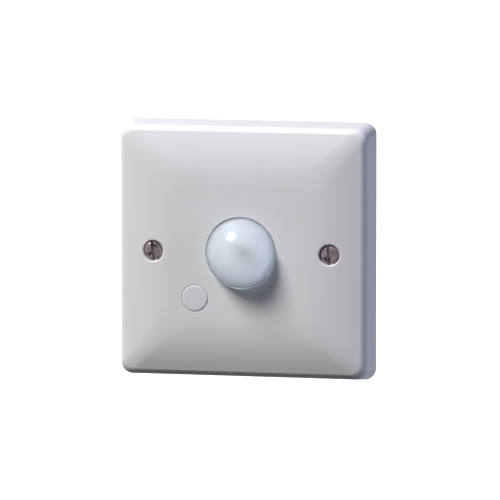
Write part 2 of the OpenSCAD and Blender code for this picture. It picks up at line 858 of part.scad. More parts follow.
// Trimmer rotor: a shaft in the body and a slotted head in the housing's back
module trimmer_rotor(side) {
    at = [side * trimmer_aside, trimmer_y];
    rear_z = trimmer_head_sunk - case_depth;
    color("ivory") upright() difference() {
        union() {
            rod(at, trimmer_shaft_r, trimmer_head_z - trimmer_head_gap, trimmer_body_z + trimmer_shaft_l);
            rod(at, trimmer_head_r, rear_z, trimmer_head_z);
        }
        block(at, [trimmer_slot_w, trimmer_head_d - 2 * trimmer_slot_end],
            rear_z - cut, rear_z + trimmer_slot_h);
    }
}

module time_trimmer_body() {
    trimmer_body(-1);
}

module time_trimmer_rotor() {
    trimmer_rotor(-1);
}

module light_trimmer_body() {
    trimmer_body(1);
}

module light_trimmer_rotor() {
    trimmer_rotor(1);
}

// Insulating block with an open pocket for each brass clamp
module terminal_block() {
    face_y = -case_h / 2;
    color("lightgray") upright() difference() {
        block([0, face_y + block_h / 2], [block_w, block_h], case_floor_z, main_board_z);
        for (i = [0:terminal_count - 1]) {
            block([terminal_x(i), clamp_mouth_y + (clamp_l + clamp_gap) / 2 - (clamp_recess + cut) / 2],
                [clamp_w + 2 * clamp_gap, clamp_l + clamp_gap + clamp_recess + cut],
                clamp_rear_z - clamp_gap, clamp_front_z);
            rod([terminal_x(i), terminal_screw_y], terminal_head_r + slide_gap,
                case_floor_z - cut, clamp_rear_z + clamp_gap);
        }
    }
}

// Brass clamps: a blind hole for the conductor and a threaded hole for its screw
module terminal_clamps() {
    color("gold") upright() for (i = [0:terminal_count - 1]) difference() {
        block([terminal_x(i), clamp_mouth_y + clamp_l / 2], [clamp_w, clamp_l],
            clamp_rear_z, clamp_front_z);
        translate([terminal_x(i), clamp_mouth_y + conductor_l, conductor_z])
            rotate([90, 0, 0]) cylinder(h = conductor_l + cut, r = conductor_r);
        rod([terminal_x(i), terminal_screw_y], terminal_screw_r + thread_gap,
            clamp_rear_z - cut, conductor_z);
    }
}

module terminal_screws() {
    rear_z = case_head_sunk - case_depth;
    head_end = clamp_rear_z - terminal_head_gap;
    color("khaki") upright() for (i = [0:terminal_count - 1]) difference() {
        union() {
            rod([terminal_x(i), terminal_screw_y], terminal_head_r, rear_z, head_end);
            rod([terminal_x(i), terminal_screw_y], terminal_screw_r, head_end - terminal_head_gap,
                conductor_z - conductor_r - terminal_tip_gap);
        }
        block([terminal_x(i), terminal_screw_y], [2 * terminal_head_r + cut, driver_slot_w],
            rear_z - cut, rear_z + driver_slot_h);
    }
}

face_plate();
fixing_screws();
lens_dome();
lens_retainer();
retainer_screws();
push_button();
button_spring();
rear_housing();
housing_screws();
front_board();
sensor_spacer();
sensor_can();
sensor_window();
sensor_leads();
light_sensor();
switch_body();
switch_plunger();
controller_chip();
main_board();
board_spacers();
link_header();
link_pins();
relay();
film_capacitor();
electrolytic_capacitor();
varistor();
fuse();
choke_spool();
choke_winding();
rectifier();
time_trimmer_body();
time_trimmer_rotor();
light_trimmer_body();
light_trimmer_rotor();
terminal_block();
terminal_clamps();
terminal_screws();
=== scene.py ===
import bpy
import bmesh
import math
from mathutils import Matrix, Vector


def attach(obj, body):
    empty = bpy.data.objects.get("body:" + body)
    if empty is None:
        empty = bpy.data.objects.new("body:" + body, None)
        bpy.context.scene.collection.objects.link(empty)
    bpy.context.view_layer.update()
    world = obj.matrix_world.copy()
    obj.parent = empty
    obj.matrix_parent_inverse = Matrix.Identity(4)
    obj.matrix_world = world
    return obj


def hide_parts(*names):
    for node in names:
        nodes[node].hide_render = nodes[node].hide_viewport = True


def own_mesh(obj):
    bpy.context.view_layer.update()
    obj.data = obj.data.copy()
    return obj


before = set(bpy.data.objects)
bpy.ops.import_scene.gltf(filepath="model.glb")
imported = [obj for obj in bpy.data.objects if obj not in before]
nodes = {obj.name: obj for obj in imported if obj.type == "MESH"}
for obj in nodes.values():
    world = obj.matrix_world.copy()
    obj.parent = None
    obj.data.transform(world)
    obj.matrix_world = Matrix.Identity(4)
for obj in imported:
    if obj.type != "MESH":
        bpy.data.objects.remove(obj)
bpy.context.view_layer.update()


# Rear housing: a deep tray that goes into the wall box and carries both boards. It is
# moulded in light grey thermoplastic with a fine spark texture, and its back has fine
# scale marks round the two trimmers and the faint rings that the ejector pins leave.

def wall(x, y, z):
    """A point given in millimetres to the right, up and out of the wall, in the scene's metres."""
    return Vector((x, -z, y)) / 1000


def around(at, r, turn):
    """The place at a radius and a turn, in radians, round another place."""
    return at[0] + r * math.cos(turn), at[1] + r * math.sin(turn)


def turned(profile, at=(0, 0), sides=96, closed=False):
    """Points and faces of a round shape from its radii and levels."""
    points, rows, faces = [], [], []
    for r, z in profile:
        if r == 0:
            rows.append([len(points)] * sides)
            points.append((at[0], at[1], z))
        else:
            rows.append(list(range(len(points), len(points) + sides)))
            points += [(*around(at, r, 2 * math.pi * i / sides), z) for i in range(sides)]
    for low, high in zip(rows, rows[1:] + (rows[:1] if closed else [])):
        for i in range(sides):
            j = (i + 1) % sides
            faces.append(list(dict.fromkeys([low[i], low[j], high[j], high[i]])))
    return points, faces


def block(at, size, low, high, turn=0):
    """Points and faces of a straight block, turned in the plane of the wall by some degrees."""
    c, s = math.cos(math.radians(turn)), math.sin(math.radians(turn))
    points = []
    for z in (low, high):
        for a, b in ((-1, -1), (1, -1), (1, 1), (-1, 1)):
            x, y = a * size[0] / 2, b * size[1] / 2
            points.append((at[0] + x * c - y * s, at[1] + x * s + y * c, z))
    return points, [[3, 2, 1, 0], [4, 5, 6, 7], [0, 1, 5, 4], [1, 2, 6, 5], [2, 3, 7, 6], [3, 0, 4, 7]]


def placed(name, mesh):
    """A new piece of the scene with this mesh."""
    piece = bpy.data.objects.new(name, mesh)
    bpy.context.scene.collection.objects.link(piece)
    return piece


def made(name, *shapes):
    """A piece from one or more closed shapes, with its faces turned outwards."""
    points, faces = [], []
    for shape_points, shape_faces in shapes:
        faces += [[len(points) + i for i in face] for face in shape_faces]
        points += [wall(*p) for p in shape_points]
    mesh = bpy.data.meshes.new(name)
    mesh.from_pydata(points, [], faces)
    work = bmesh.new()
    work.from_mesh(mesh)
    bmesh.ops.recalc_face_normals(work, faces=work.faces)
    work.to_mesh(mesh)
    work.free()
    return placed(name, mesh)


def settled(piece):
    """Applies the piece's modifiers."""
    bpy.context.view_layer.update()
    shaped = bpy.data.meshes.new_from_object(piece.evaluated_get(bpy.context.evaluated_depsgraph_get()))
    piece.modifiers.clear()
    piece.data = shaped
    return piece


def with_tool(piece, tool, operation="DIFFERENCE"):
    """Cuts the tool out of the piece, or joins it on."""
    step = piece.modifiers.new("tool", "BOOLEAN")
    step.operation, step.solver, step.object = operation, "EXACT", tool
    settled(piece)
    bpy.data.objects.remove(tool)


def eased(piece, radius=0.0, sharper_than=30):
    """Rounds the edges sharper than some degrees by a radius in millimetres and shades the rest smooth."""
    if radius:
        step = piece.modifiers.new("rounding", "BEVEL")
        step.width, step.segments = radius / 1000, 2
        step.limit_method, step.angle_limit = "ANGLE", math.radians(sharper_than)
        settled(piece)
    piece.data.shade_smooth()
    piece.data.set_sharp_from_angle(angle=math.radians(sharper_than))
    step = piece.modifiers.new("even shading", "WEIGHTED_NORMAL")
    step.keep_sharp, step.weight = True, 60
    return settled(piece)


def copied(name, node):
    """A new piece with the form of a CAD node, its flat faces whole again, ready to be eased."""
    source = nodes[node].data
    mesh = bpy.data.meshes.new(name)
    mesh.from_pydata([v.co for v in source.vertices], [], [list(p.vertices) for p in source.polygons])
    work = bmesh.new()
    work.from_mesh(mesh)
    bmesh.ops.remove_doubles(work, verts=work.verts, dist=2e-6)
    bmesh.ops.dissolve_limit(work, angle_limit=math.radians(0.5), verts=work.verts, edges=work.edges)
    work.to_mesh(mesh)
    work.free()
    return placed(name, mesh)


def fitted(piece, body, slot, look, *replaced):
    """Gives the piece its material, the body that it moves with and the nodes it stands for."""
    piece.data.materials.clear()
    piece.data.materials.append(look)
    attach(piece, body)
    if replaced:
        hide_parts(*replaced)


def tone(r, g, b):
    """A colour from its screen values of 0 to 255."""
    return [((v / 255 + 0.055) / 1.055) ** 2.4 if v > 10 else v / 255 / 12.92 for v in (r, g, b)] + [1]


def effect(name, inputs, outputs):
    """An empty shader node group with its named sockets."""
    group = bpy.data.node_groups.new(name, "ShaderNodeTree")
    for label, kind in inputs:
        group.interface.new_socket(label, in_out="INPUT", socket_type="NodeSocket" + kind)
    for label, kind in outputs:
        group.interface.new_socket(label, in_out="OUTPUT", socket_type="NodeSocket" + kind)
    return group, group.nodes.new("NodeGroupInput"), group.nodes.new("NodeGroupOutput")


def fed(tree, socket, given):
    """Sets a socket to a number, or joins it to the socket that gives its value."""
    if isinstance(given, (int, float)):
        socket.default_value = given
    else:
        tree.links.new(given, socket)


def noise(tree, place, scale, detail=2.0):
    """Cloudy values on a place, their scale in cells per metre."""
    node = tree.nodes.new("ShaderNodeTexNoise")
    tree.links.new(place, node.inputs["Vector"])
    fed(tree, node.inputs["Scale"], scale)
    node.inputs["Detail"].default_value = detail
    return node.outputs["Fac"]


def ranged(tree, value, low, high, to_low, to_high):
    """Maps a value from one range to another, held at its ends."""
    node = tree.nodes.new("ShaderNodeMapRange")
    tree.links.new(value, node.inputs["Value"])
    for label, given in (("From Min", low), ("From Max", high), ("To Min", to_low), ("To Max", to_high)):
        fed(tree, node.inputs[label], given)
    return node.outputs["Result"]


def mixed(tree, share, first, second):
    """A colour between two colours."""
    node = tree.nodes.new("ShaderNodeMix")
    node.data_type = "RGBA"
    tree.links.new(share, node.inputs["Factor"])
    tree.links.new(first, node.inputs["A"])
    tree.links.new(second, node.inputs["B"])
    return node.outputs["Result"]


def sums(tree, operation, first, second):
    """Two values joined by a sum, a product and so on."""
    node = tree.nodes.new("ShaderNodeMath")
    node.operation = operation
    fed(tree, node.inputs[0], first)
    fed(tree, node.inputs[1], second)
    return node.outputs["Value"]


# The look of a moulding: its colour drifts a little as the plastic flowed, the surface
# has a fine grain from the mould, and the gloss varies from place to place.
moulding, given, out = effect(
    "moulded_surface",
    [("Colour", "Color"), ("Flow colour", "Color"), ("Flow scale", "Float"), ("Grain scale", "Float"),
     ("Low roughness", "Float"), ("High roughness", "Float")],
    [("Colour", "Color"), ("Roughness", "Float"), ("Height", "Float")])
place = moulding.nodes.new("ShaderNodeTexCoord").outputs["Object"]
flow = noise(moulding, place, given.outputs["Flow scale"], 3)
grain = noise(moulding, place, given.outputs["Grain scale"], 4)
flow_share = ranged(moulding, flow, 0.35, 0.65, 0.0, 1.0)
moulding.links.new(mixed(moulding, flow_share, given.outputs["Colour"], given.outputs["Flow colour"]),
                   out.inputs["Colour"])
gloss = sums(moulding, "ADD", sums(moulding, "MULTIPLY", flow, 0.5), sums(moulding, "MULTIPLY", grain, 0.5))
moulding.links.new(ranged(moulding, gloss, 0.3, 0.7, given.outputs["Low roughness"],
                          given.outputs["High roughness"]), out.inputs["Roughness"])
moulding.links.new(grain, out.inputs["Height"])


def finish(name, group, values, relief, fixed):
    """A material whose colour, roughness and height come from a group; relief is in millimetres."""
    material = bpy.data.materials.new(name)
    material.use_nodes = True
    tree = material.node_tree
    shader = tree.nodes["Principled BSDF"]
    surface = tree.nodes.new("ShaderNodeGroup")
    surface.node_tree = group
    for label, value in values.items():
        surface.inputs[label].default_value = value
    for label, value in fixed.items():
        shader.inputs[label].default_value = value
    bump = tree.nodes.new("ShaderNodeBump")
    bump.inputs["Strength"].default_value = 1
    bump.inputs["Distance"].default_value = relief / 1000
    tree.links.new(surface.outputs["Height"], bump.inputs["Height"])
    tree.links.new(bump.outputs["Normal"], shader.inputs["Normal"])
    tree.links.new(surface.outputs["Colour"], shader.inputs["Base Color"])
    tree.links.new(surface.outputs["Roughness"], shader.inputs["Roughness"])
    return material


def moulded(name, colour, flow_colour, rough, grain=1800, relief=0.01, flow_scale=60, **fixed):
    """A moulded plastic: its two close colours, its range of roughness and its grain."""
    return finish(name, moulding, {
        "Colour": tone(*colour), "Flow colour": tone(*flow_colour), "Flow scale": flow_scale,
        "Grain scale": grain, "Low roughness": rough[0], "High roughness": rough[1]}, relief, fixed)


housing_back = -21
trimmer_places = [(-9, 10), (9, 10)]
trimmer_reach = 130
tick_count = 11
tick_start_r = 3.7
long_tick, short_tick, tick_w, tick_depth = 1.5, 0.9, 0.3, 0.15
ejector_places = [(0, 16), (0, -4), (-17, -2), (17, -2)]
ejector_inner_r, ejector_outer_r, ejector_depth = 1.8, 2.05, 0.06
marks = []
for at in trimmer_places:
    for step in range(tick_count):
        turn = 90 + trimmer_reach - 2 * trimmer_reach * step / (tick_count - 1)
        length = long_tick if step in (0, 5, 10) else short_tick
        marks.append(block(around(at, tick_start_r + length / 2, math.radians(turn)), (length, tick_w),
                           housing_back - 1, housing_back + tick_depth, turn))
for at in ejector_places:
    marks.append(turned([(ejector_inner_r, housing_back - 1), (ejector_outer_r, housing_back - 1),
                         (ejector_outer_r, housing_back + ejector_depth),
                         (ejector_inner_r, housing_back + ejector_depth)], at, 48, closed=True))
housing = eased(copied("rear_housing_moulding", "rear_housing"), 0.25)
with_tool(housing, made("housing_marks", *marks))
eased(housing)
housing_grey = moulded("housing_grey", (222, 222, 220), (214, 214, 213), (0.42, 0.6), grain=2400, relief=0.03)
fitted(housing, "switch", "housing_plastic", housing_grey, "rear_housing")


# Housing screws: four zinc plated self-tapping screws in recesses in the housing's back.
# They go up through its columns into the face plate and hold the two together.

# The look of plated metal: fine scratches that cross each other, a slight tarnish in
# patches, and a gloss that breaks up along the scratches.
plating, given, out = effect(
    "plated_surface",
    [("Colour", "Color"), ("Tarnish", "Color"), ("Tarnish scale", "Float"), ("Scratch scale", "Float"),
     ("Low roughness", "Float"), ("High roughness", "Float")],
    [("Colour", "Color"), ("Roughness", "Float"), ("Height", "Float")])
place = plating.nodes.new("ShaderNodeTexCoord").outputs["Object"]
scratched = []
for turn in (0.5, -0.9):
    slant = plating.nodes.new("ShaderNodeMapping")
    slant.inputs["Rotation"].default_value = (0.3, turn, 0.2)
    slant.inputs["Scale"].default_value = (0.06, 1, 1)
    plating.links.new(place, slant.inputs["Vector"])
    scratched.append(noise(plating, slant.outputs["Vector"], given.outputs["Scratch scale"]))
scratches = sums(plating, "MULTIPLY", scratched[0], scratched[1])
patches = noise(plating, place, given.outputs["Tarnish scale"], 3)
plating.links.new(mixed(plating, ranged(plating, patches, 0.42, 0.68, 0.0, 1.0), given.outputs["Colour"],
                        given.outputs["Tarnish"]), out.inputs["Colour"])
plating.links.new(ranged(plating, sums(plating, "ADD", scratches, patches), 0.5, 1.0,
                         given.outputs["Low roughness"], given.outputs["High roughness"]),
                  out.inputs["Roughness"])
plating.links.new(scratches, out.inputs["Height"])


def plated(name, colour, tarnish, rough, relief=0.004, tarnish_scale=900, scratch_scale=9000, **fixed):
    """A metal: its colour and tarnish, its range of roughness and its scratches."""
    return finish(name, plating, {
        "Colour": tone(*colour), "Tarnish": tone(*tarnish), "Tarnish scale": tarnish_scale,
        "Scratch scale": scratch_scale, "Low roughness": rough[0], "High roughness": rough[1]},
        relief, {"Metallic": 1.0, **fixed})


def ringed(rings):
    """Points and faces of a closed solid through rings of equal counts."""
    count = len(rings[0])
    faces = []
    for k in range(len(rings) - 1):
        for i in range(count):
            j = (i + 1) % count
            faces.append([k * count + i, k * count + j, (k + 1) * count + j, (k + 1) * count + i])
    faces.append(list(range(count))[::-1])
    faces.append([(len(rings) - 1) * count + i for i in range(count)])
    return [p for ring in rings for p in ring], faces


def screw_thread(at, core, crest, low, high, pitch):
    """Points and faces of a threaded rod whose crest winds up from low to high."""
    sides, steps = 24, 6
    rows = int((high - low) / pitch * steps)
    rings = []
    for k in range(rows + 1):
        z = low + (high - low) * k / rows
        ends = max(min(1, (z - low) / pitch, (high - z) / pitch), 0)
        ring = []
        for i in range(sides):
            share = ((z - low) / pitch - i / sides) % 1
            ridge = 1 - abs(2 * share - 1)
            ring.append((*around(at, core + (crest - core) * ridge * ends, 2 * math.pi * i / sides), z))
        rings.append(ring)
    return ringed(rings)


column_x, column_y = 20.6, 23.6
column_places = [(x, y) for x in (-column_x, column_x) for y in (-column_y, column_y)]
screw_back = -20.8
cross_w, cross_l, cross_depth, cross_turn = 0.7, 3.0, 0.8, 20
head_profile = [(r, screw_back + rise) for r, rise in (
    (0, 0), (1.5, 0), (2.0, 0.2), (2.25, 0.6), (2.3, 1.0), (2.3, 1.8), (0, 1.8))]
centre_profile = [(r, screw_back + rise) for r, rise in ((0, -1), (0.75, -1), (0.75, 0.5), (0, 1.1))]
zinc = plated("bright_zinc", (205, 208, 212), (168, 170, 172), (0.22, 0.42))
for number, at in enumerate(column_places, 1):
    head = made(f"housing_screw_{number}_head", turned(head_profile, at, 64))
    for size in ((cross_l, cross_w), (cross_w, cross_l)):
        with_tool(head, made("cross", block(at, size, screw_back - 1, screw_back + cross_depth, cross_turn)))
    with_tool(head, made("cross", turned(centre_profile, at, 24)))
    fitted(eased(head, 0.06), "switch", "screw_zinc", zinc)
    thread = made(f"housing_screw_{number}_thread", screw_thread(at, 0.95, 1.3, screw_back + 1.7, 11.5, 1.0))
    fitted(eased(thread, 0, 50), "switch", "screw_zinc", zinc)
    if number == 1:
        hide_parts("housing_screws")


# Terminal block, clamps and screws: an insulating block at the housing's lower edge with
# a pocket for each of three brass clamps. A conductor goes in from below, and a brass
# screw from the back presses on it.

terminal_x = [-7.6, 0, 7.6]
terminal_screw_y = -22.7
terminal_profile = [(0, -20.8), (1.6, -20.8), (1.9, -20.5), (1.9, -17.4), (1.7, -17.2), (0, -17.2)]
terminal_slot_z = -20.0
insulating = moulded("terminal_grey", (190, 191, 190), (182, 183, 182), (0.45, 0.6), grain=2200, relief=0.02)
fitted(eased(copied("terminal_insulator", "terminal_block"), 0.15), "switch", "terminal_plastic",
       insulating, "terminal_block")
brass = plated("milled_brass", (214, 184, 118), (186, 152, 92), (0.28, 0.45), relief=0.006)
fitted(eased(copied("brass_clamps", "terminal_clamps"), 0.18), "switch", "terminal_brass",
       brass, "terminal_clamps")
for number, x in enumerate(terminal_x, 1):
    at = (x, terminal_screw_y)
    slot_turn = 8 - 23 * number
    head = made(f"terminal_screw_{number}", turned(terminal_profile, at, 64))
    with_tool(head, made("slot", block(at, (6, 0.7), -22, terminal_slot_z, slot_turn)))
    fitted(eased(head, 0.06), "switch", "terminal_brass", brass)
    thread = made(f"terminal_thread_{number}", screw_thread(at, 0.95, 1.25, -17.3, -14.7, 0.5))
    fitted(eased(thread, 0, 50), "switch", "terminal_brass", brass)
    if number == 1:
        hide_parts("terminal_screws")


# Main board: glass fibre under a green solder mask, held on two posts in the housing. It
# carries the mains parts: relay, capacitors, choke, varistor, fuse and rectifier.

def refinished(node, look):
    """Gives a CAD node that keeps its form a worked-out material."""
    nodes[node].data.materials.clear()
    nodes[node].data.materials.append(look)


# The look of a circuit board: tracks that show through the solder mask, tinned via holes
# and a faint weave of the glass cloth.
board_look, given, out = effect(
    "board_surface",
    [("Mask", "Color"), ("Track", "Color"), ("Tin", "Color"), ("Track scale", "Float")],
    [("Colour", "Color"), ("Roughness", "Float"), ("Height", "Float")])
tracks_in_cell, vias_per_metre, cloth_per_metre = 5.0, 420, 3000
place = board_look.nodes.new("ShaderNodeTexCoord").outputs["Object"]
tracks = board_look.nodes.new("ShaderNodeTexVoronoi")
tracks.feature, tracks.distance = "F1", "CHEBYCHEV"
board_look.links.new(place, tracks.inputs["Vector"])
board_look.links.new(given.outputs["Track scale"], tracks.inputs["Scale"])
bands = sums(board_look, "MULTIPLY", tracks.outputs["Distance"], tracks_in_cell)
bands = sums(board_look, "FRACT", bands, 0.0)
on_track = ranged(board_look, bands, 0.50, 0.56, 0.0, 1.0)
vias = board_look.nodes.new("ShaderNodeTexVoronoi")
vias.feature = "F1"
board_look.links.new(place, vias.inputs["Vector"])
vias.inputs["Scale"].default_value = vias_per_metre
on_via = ranged(board_look, vias.outputs["Distance"], 0.16, 0.19, 1.0, 0.0)
coloured = mixed(board_look, on_track, given.outputs["Mask"], given.outputs["Track"])
board_look.links.new(mixed(board_look, on_via, coloured, given.outputs["Tin"]), out.inputs["Colour"])
cloth = noise(board_look, place, cloth_per_metre)
board_look.links.new(ranged(board_look, cloth, 0.3, 0.7, 0.28, 0.42), out.inputs["Roughness"])
board_look.links.new(sums(board_look, "ADD", on_track, sums(board_look, "MULTIPLY", cloth, 0.3)),
                     out.inputs["Height"])
green_board = finish("green_board", board_look, {
    "Mask": tone(24, 96, 58), "Track": tone(38, 122, 76), "Tin": tone(188, 190, 186), "Track scale": 150},
    0.02, {"Coat Weight": 0.3})
refinished("main_board", green_board)
natural_nylon = moulded("natural_nylon", (226, 220, 200), (216, 208, 186), (0.4, 0.55), grain=1500)
refinished("board_spacers", natural_nylon)
black_moulding = moulded("black_moulding", (44, 44, 46), (34, 34, 36), (0.42, 0.62), grain=2600, relief=0.02)
for node in ("link_header", "rectifier"):
    refinished(node, black_moulding)
gold_pin = plated("gold_pin", (224, 196, 120), (200, 166, 96), (0.18, 0.32))
refinished("link_pins", gold_pin)
refinished("relay", moulded("relay_blue", (46, 78, 142), (40, 70, 132), (0.3, 0.42), grain=1600))
refinished("film_capacitor",
           moulded("capacitor_yellow", (222, 176, 62), (212, 164, 54), (0.38, 0.5), grain=1400))
refinished("electrolytic_capacitor",
           moulded("sleeve_navy", (38, 46, 84), (32, 38, 72), (0.22, 0.34), grain=500))
refinished("varistor", moulded("varistor_blue", (66, 118, 170), (58, 106, 158), (0.34, 0.5),
                               grain=900, relief=0.04, flow_scale=250))
refinished("fuse", moulded("fuse_brown", (108, 66, 44), (96, 58, 40), (0.26, 0.38), grain=1200))
refinished("choke_spool",
           moulded("ferrite_grey", (66, 66, 70), (54, 54, 58), (0.5, 0.7), grain=3200, relief=0.03))


# Choke winding: enamelled copper wire wound in layers on a ferrite spool. Its turns lie
# side by side as fine ridges, with painted shade darkening the grooves between them.

winding_look, given, out = effect(
    "wound_wire",
    [("Enamel", "Color"), ("Painted shade", "Color"), ("Turns", "Float")],
    [("Colour", "Color"), ("Roughness", "Float"), ("Height", "Float")])
place = winding_look.nodes.new("ShaderNodeTexCoord").outputs["Object"]
turns = winding_look.nodes.new("ShaderNodeTexWave")
turns.bands_direction = "Y"
winding_look.links.new(place, turns.inputs["Vector"])
winding_look.links.new(given.outputs["Turns"], turns.inputs["Scale"])
turns.inputs["Distortion"].default_value = 0.4
# Painted shade: the low grooves between the turns take the dark colour, the ridges the enamel's own
enamel_with_painted_shade = mixed(winding_look, turns.outputs["Fac"], given.outputs["Painted shade"], given.outputs["Enamel"])
winding_look.links.new(enamel_with_painted_shade, out.inputs["Colour"])
winding_look.links.new(ranged(winding_look, noise(winding_look, place, 1500), 0.3, 0.7, 0.25, 0.4),
                       out.inputs["Roughness"])
winding_look.links.new(turns.outputs["Fac"], out.inputs["Height"])
# The dark second colour is painted shade for the grooves between the turns
refinished("choke_winding", finish("enamelled_copper", winding_look, {
    "Enamel": tone(196, 108, 60), "Painted shade": tone(96, 44, 22), "Turns": 700}, 0.12, {"Metallic": 0.7}))


# Trimmers: two small potentiometers on the rear of the main board, one for the time and
# one for the light level. Their slotted nylon heads show in the housing's back.

knob_profile = [(0, -20.7), (2.35, -20.7), (2.6, -20.6), (2.8, -20.35), (2.8, -13.7), (1.5, -13.7),
                (1.5, -9.8), (0, -9.8)]
knob_slot_z, knob_pointer_z = -19.6, -20.1
pointer_faces = [[0, 1, 2], [3, 5, 4], [0, 3, 4, 1], [1, 4, 5, 2], [2, 5, 3, 0]]
trimmer_blue = moulded("trimmer_blue", (58, 104, 180), (50, 92, 166), (0.34, 0.48))
for name, (x, y) in zip(("time", "light"), trimmer_places):
    refinished(f"{name}_trimmer_body", trimmer_blue)
    head = made(f"{name}_trimmer_knob", turned(knob_profile, (x, y), 72))
    with_tool(head, made("slot", block((x, y), (0.8, 4.6), -22, knob_slot_z)))
    corners = [(x - 0.75, y + 1.1), (x + 0.75, y + 1.1), (x, y + 2.35)]
    pointer_points = [(*corner, z) for z in (-22, knob_pointer_z) for corner in corners]
    with_tool(head, made("pointer", (pointer_points, pointer_faces)))
    fitted(eased(head, 0.05), f"{name}_rotor", "nylon", natural_nylon, f"{name}_trimmer_rotor")


# Front board: the second board, at the housing's rim, with the sensor can on a spacer in
# its middle, the light sensor and the controller beside it and the push switch below.

refinished("front_board", green_board)
refinished("controller_chip", black_moulding)
refinished("switch_body", black_moulding)
refinished("switch_plunger", moulded("plunger_black", (52, 54, 54), (44, 46, 46), (0.3, 0.42), grain=1600))
refinished("sensor_spacer", natural_nylon)
refinished("sensor_can", plated("drawn_can", (206, 204, 196), (178, 174, 164), (0.2, 0.34)))
refinished("sensor_window",
           moulded("filter_dark", (70, 62, 76), (58, 52, 66), (0.08, 0.16), grain=600, relief=0.002))
refinished("sensor_leads", gold_pin)
refinished("light_sensor",
           moulded("clear_epoxy", (214, 222, 226), (204, 214, 220), (0.1, 0.18), grain=500, relief=0.004,
                   **{"Transmission Weight": 0.5, "IOR": 1.5}))


# Face plate: one moulding in white urea plastic. Its sides lean in a little to a rounded
# edge, and from there the face rises in a shallow curve to a flat middle. Bosses behind
# it take the two fixing screws, and each hole has a softly rounded lip.

plate_half = 43.5
corner_r = 4
lean = 1.5
edge_z = 11.5
edge_r = 3.0
border = 20
middle_corner_r = 9
crown_z = 14.7
skin = 2.2
ceiling_z = crown_z - skin
border_rise = crown_z - edge_z
border_r = (border ** 2 + border_rise ** 2) / (2 * border_rise)
middle_half = plate_half - lean - border


def face_z(x):
    """Height of the face at a distance from the plate's upright centre line."""
    return crown_z - border_r + math.sqrt(border_r ** 2 - max(abs(x) - middle_half, 0) ** 2)


def plate_ring(half, r, z):
    """A closed ring round the plate at one level: four round corners and four sides."""
    corner_steps, side_steps = 12, 26
    turns = [[math.pi / 2 * (q + i / corner_steps) for i in range(corner_steps + 1)] for q in range(4)]
    corners = []
    for quarter, (sx, sy) in zip(turns, ((1, 1), (-1, 1), (-1, -1), (1, -1))):
        middle = (sx * (half - r), sy * (half - r))
        corners.append([(*around(middle, r, turn), z) for turn in quarter])
    ring = []
    for q in range(4):
        ring += corners[q]
        start, end = Vector(corners[q][-1]), Vector(corners[(q + 1) % 4][0])
        ring += [tuple(start.lerp(end, k / side_steps)) for k in range(1, side_steps)]
    return ring


# The rounded edge touches both the leaning side and the start of the curved border
edge_steps, border_steps = 16, 24
lean_turn = math.atan(lean / edge_z)
border_turn = math.pi / 2 - math.asin(border / border_r)
edge_reach = edge_r / math.cos((border_turn - lean_turn) / 2)
edge_middle = (lean_turn + border_turn) / 2
edge_centre = (lean + edge_reach * math.cos(edge_middle), edge_z - edge_reach * math.sin(edge_middle))
steps = []
for i in range(edge_steps + 1):
    turn = lean_turn + (border_turn - lean_turn) * i / edge_steps
    steps.append((edge_centre[0] - edge_r * math.cos(turn), edge_centre[1] + edge_r * math.sin(turn),
                  corner_r))
border_start, border_end = steps[-1][0], lean + border
for i in range(1, border_steps + 1):
    share = i / border_steps
    inset = border_start + (border_end - border_start) * share
    steps.append((inset, face_z(plate_half - inset), corner_r + (middle_corner_r - corner_r) * share ** 2))
foot = [(0.25, 0, corner_r - 0.25), (0.06, 0.1, corner_r), (0.04, 0.3, corner_r)]
foot += [(steps[0][0] * share, steps[0][1] * share, corner_r) for share in (0.33, 0.66)]
outer = [plate_ring(plate_half - inset, r, z) for inset, z, r in foot + steps]
inner = [plate_ring(plate_half - skin - 0.15, corner_r - skin, 0)]
inner += [plate_ring(plate_half - skin - inset, r - skin, z - skin) for inset, z, r in steps]
# The rings run from the flat middle out to the foot and back up the inside to the ceiling
plate = made("face_plate_moulding", ringed(outer[::-1] + inner))


def rod(at, r, low, high):
    """Points and faces of a round rod."""
    return turned([(0, low), (r, low), (r, high), (0, high)], at, 64)


rim_z = 6
flange_back = 11.3
half_skin = skin / 2
boss_x, boss_r = 30.15, 4.45
column_boss_r = 3
ear_y, ear_boss_r = 16.1, 2.4
post_x, post_r = 18.5, 2
boss_top = face_z(boss_x + boss_r) - half_skin
boss_profile = [(0, 0), (4.2, 0), (boss_r, 0.25), (boss_r, boss_top), (0, boss_top)]
column_boss_top = face_z(column_y + column_boss_r) - half_skin
bosses = [turned(boss_profile, (side * boss_x, 0), 64) for side in (-1, 1)]
bosses += [rod(at, column_boss_r, rim_z, column_boss_top) for at in column_places]
bosses += [rod((0, side * ear_y), ear_boss_r, flange_back, ceiling_z + half_skin) for side in (-1, 1)]
bosses += [rod((side * post_x, 0), post_r, rim_z, ceiling_z + half_skin) for side in (-1, 1)]
for boss in bosses:
    with_tool(plate, made("boss", boss), "UNION")


def bore(at, levels, lip_w, lip_h):
    """A tool for a round hole: its levels up from the back, then a rounded lip that follows the face."""
    sides = 128
    radius = levels[-1][0]
    # Most of a quarter round, a last slope that meets the face, and a straight part out of it
    arc = [(radius + lip_w * (1 - math.cos(turn)), -lip_h * (1 - math.sin(turn)))
           for turn in [math.radians(8 + 9 * k) for k in range(9)]]
    arc.append((arc[-1][0] + 0.35 * lip_w, 0.12 * lip_h))
    arc.append((arc[-1][0], 2))
    rings = []
    for r, z, on_face in [(r, z, 0) for r, z in levels] + [(r, z, 1) for r, z in arc]:
        places = [around(at, r, 2 * math.pi * i / sides) for i in range(sides)]
        rings.append([(x, y, z + (face_z(x) if on_face else 0)) for x, y in places])
    return ringed(rings)


def flanged_bore(at, recess_r, hole_r, lip_h):
    """A tool for a hole with a recess behind it for the flange of the piece that comes through."""
    return bore(at, [(recess_r, flange_back - 1), (recess_r, ceiling_z), (hole_r, ceiling_z)], 0.3, lip_h)


